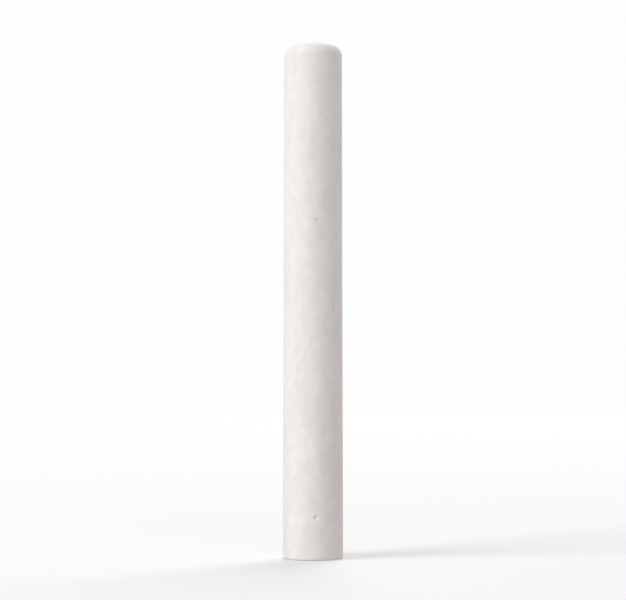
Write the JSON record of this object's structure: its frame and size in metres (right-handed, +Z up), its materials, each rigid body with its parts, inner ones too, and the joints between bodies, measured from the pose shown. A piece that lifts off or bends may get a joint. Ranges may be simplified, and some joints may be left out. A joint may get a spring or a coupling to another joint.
{
  "type": "chalk stick",
  "caption": "Round white chalk stick for a blackboard, with one flat end to stand on and one shallow crowned end to write with.",
  "frame": {"origin": "centre of the flat end, on the surface that the stick stands on", "axes": "+Z up the stick's own axis, from the flat end to the crowned end; X and Y are alike, because the stick is round"},
  "size_m": [0.0094, 0.0094, 0.081],
  "materials": {
    "chalk": "matte, fine-grained and slightly dusty"
  },
  "bodies": {
    "root": {"chalk_stick": "chalk"}
  },
  "joints": []
}
